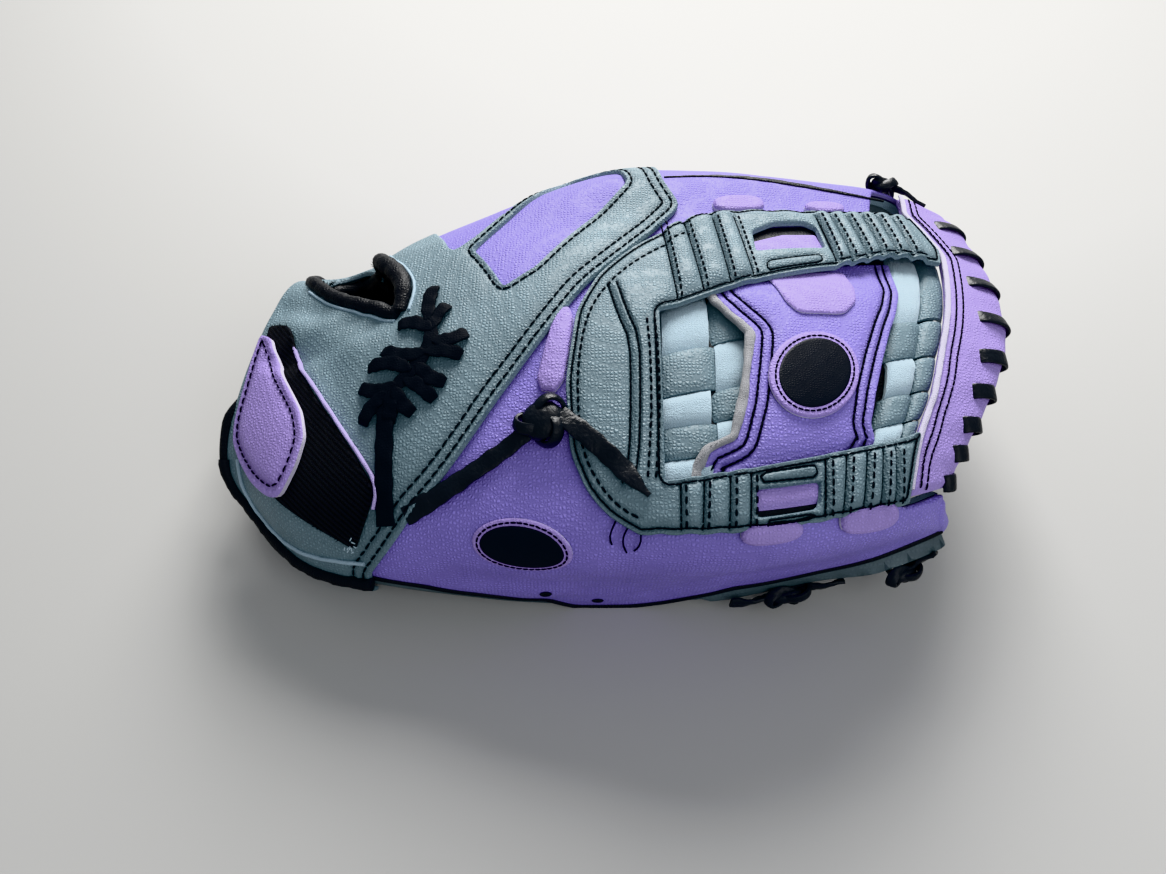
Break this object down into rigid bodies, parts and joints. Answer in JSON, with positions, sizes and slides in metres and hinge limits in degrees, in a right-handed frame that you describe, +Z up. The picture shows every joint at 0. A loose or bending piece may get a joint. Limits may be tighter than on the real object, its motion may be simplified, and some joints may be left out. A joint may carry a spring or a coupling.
{
  "type": "softball glove",
  "caption": "Softball glove for the left hand, folded shut, with padded finger stalls, a closed pocket, a woven web and a wrist strap.",
  "frame": {"origin": "middle of the bounding box's bottom, on the surface that the glove lies on", "axes": "+X from the wrist to the fingertips, +Y from the thumb to the fingers, +Z up"},
  "size_m": [0.3466, 0.2226, 0.0972],
  "materials": {
    "purple_leather": "pebbled, slightly worn",
    "lilac_leather": "pebbled, slightly worn",
    "grey_leather": "pebbled, creased",
    "black_lace": "semi-gloss rawhide",
    "black_binding": "satin padded roll",
    "black_patch": "smooth, bare",
    "loop_fabric": "ribbed hook-and-loop",
    "white_felt": "brushed felt"
  },
  "bodies": {
    "root": {"thumb_back": "purple_leather", "index_back": "purple_leather", "middle_back": "purple_leather", "ring_back": "purple_leather", "pinky_back": "purple_leather", "palm_heel_near": "grey_leather", "palm_heel_top": "grey_leather", "palm_heel_far": "grey_leather", "palm_thumb": "grey_leather", "palm_upper_fingers": "grey_leather", "palm_lower_fingers": "grey_leather", "wrist_panel": "grey_leather", "band_window": "purple_leather", "finger_hole_rim": "black_binding", "wrist_binding": "black_binding", "loop_patch": "loop_fabric", "strap_tab": "lilac_leather", "web_frame": "grey_leather", "rail_insert_near": "lilac_leather", "rail_insert_far": "lilac_leather", "web_panel": "purple_leather", "web_panel_flap": "lilac_leather", "web_patch": "black_patch", "weave_strap_1": "grey_leather", "weave_strap_2": "grey_leather", "weave_cross_left": "grey_leather", "weave_cross_right": "grey_leather", "weave_felt": "white_felt", "web_tip_binding": "lilac_leather", "edge_lace_1": "black_lace", "edge_lace_2": "black_lace", "edge_lace_3": "black_lace", "edge_lace_4": "black_lace", "edge_lace_5": "black_lace", "edge_lace_6": "black_lace", "edge_lace_7": "black_lace", "edge_lace_8": "black_lace", "edge_lace_9": "black_lace", "web_loop_1": "lilac_leather", "web_loop_2": "lilac_leather", "web_loop_3": "lilac_leather", "web_loop_4": "lilac_leather", "crotch_tab": "lilac_leather", "thumb_patch": "black_patch", "dart_lacing": "black_lace", "dart_lace_end": "black_lace", "crotch_lace": "black_lace", "crotch_knot": "black_lace", "crotch_tail": "black_lace", "index_knot": "black_lace", "thumb_tip_knot": "black_lace", "thumb_edge_knot": "black_lace", "finger_lace_1": "black_lace", "finger_lace_2": "black_lace", "finger_lace_3": "black_lace"}
  },
  "joints": []
}
